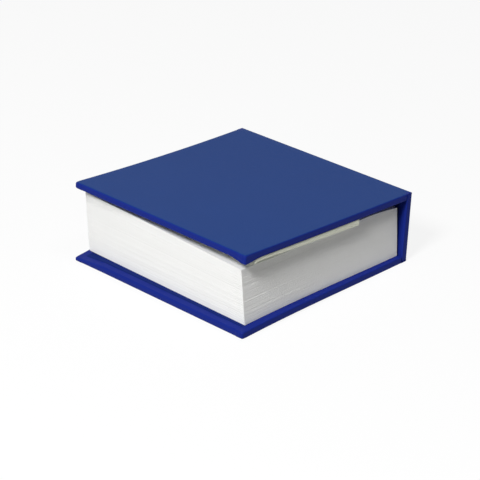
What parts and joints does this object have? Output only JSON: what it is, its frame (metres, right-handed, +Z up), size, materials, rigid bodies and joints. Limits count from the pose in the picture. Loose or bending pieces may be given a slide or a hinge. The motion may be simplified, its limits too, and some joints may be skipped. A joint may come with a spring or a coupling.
{
  "type": "hard-cover memo block",
  "caption": "Small square hard case that folds round a thick block of loose note paper, with a pad of sticky notes inside the front cover.",
  "frame": {"origin": "middle of the underside of the back cover", "axes": "+X from the fore-edge to the spine, +Y from the tail to the head, +Z up from the back cover to the front cover"},
  "size_m": [0.0848, 0.084, 0.0304],
  "materials": {
    "covering": "matt laminated blue covering paper with a fine grain",
    "lining": "uncoated blue lining paper",
    "greyboard": "raw greyboard",
    "note_paper": "uncoated white writing paper",
    "sticky_notes": "uncoated pale yellow paper",
    "binding_glue": "dried flexible padding glue"
  },
  "bodies": {
    "base": {"back_board": "greyboard", "back_covering": "covering", "back_lining": "lining", "paper_block": "note_paper", "binding_glue": "binding_glue"},
    "spine": {"spine_board": "greyboard", "spine_covering": "covering", "spine_lining": "lining"},
    "cover": {"front_board": "greyboard", "front_covering": "covering", "front_lining": "lining", "sticky_note_pad": "sticky_notes"}
  },
  "joints": [
    {"name": "spine_fold", "type": "hinge", "parent": "base", "child": "spine", "pos_m": [0.0415, 0, 0], "axis": [0, 1, 0], "range_deg": [0, 86]},
    {"name": "cover_fold", "type": "hinge", "parent": "spine", "child": "cover", "pos_m": [0.04334, 0, 0.0263], "axis": [0, 1, 0], "range_deg": [0, 91.19]}
  ]
}
